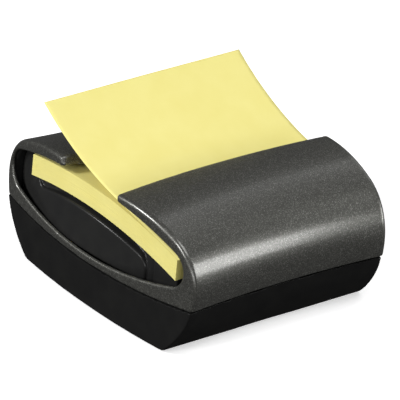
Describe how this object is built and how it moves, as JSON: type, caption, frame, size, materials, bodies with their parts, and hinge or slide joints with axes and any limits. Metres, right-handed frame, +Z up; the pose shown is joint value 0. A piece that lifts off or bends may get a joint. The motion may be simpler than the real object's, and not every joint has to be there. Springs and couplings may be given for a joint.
{
  "type": "sticky note dispenser",
  "caption": "Low desk dispenser for pop-up sticky notes: a hollow cover with bowed front and rear lobes, open eye-shaped ends and a slot across the top, on a dark tapered base.",
  "frame": {"origin": "on the desk, in the middle of the base's underside", "axes": "X across the notes, -Y towards the broad front lobe over which the notes are pulled, +Z up"},
  "size_m": [0.0832, 0.099, 0.0571],
  "materials": {
    "cover": "dark warm grey with a fine metallic flake, satin",
    "base": "satin black",
    "tray": "satin black",
    "ballast": "bare, dull",
    "screws": "zinc plated",
    "grip": "fine matt texture",
    "paper": "uncoated pale yellow"
  },
  "bodies": {
    "root": {"cover": "cover", "base": "base", "pad_tray": "tray", "ballast": "ballast", "tray_screws": "screws", "grip_sheet": "grip", "note_pad": "paper", "raised_note": "paper"}
  },
  "joints": []
}
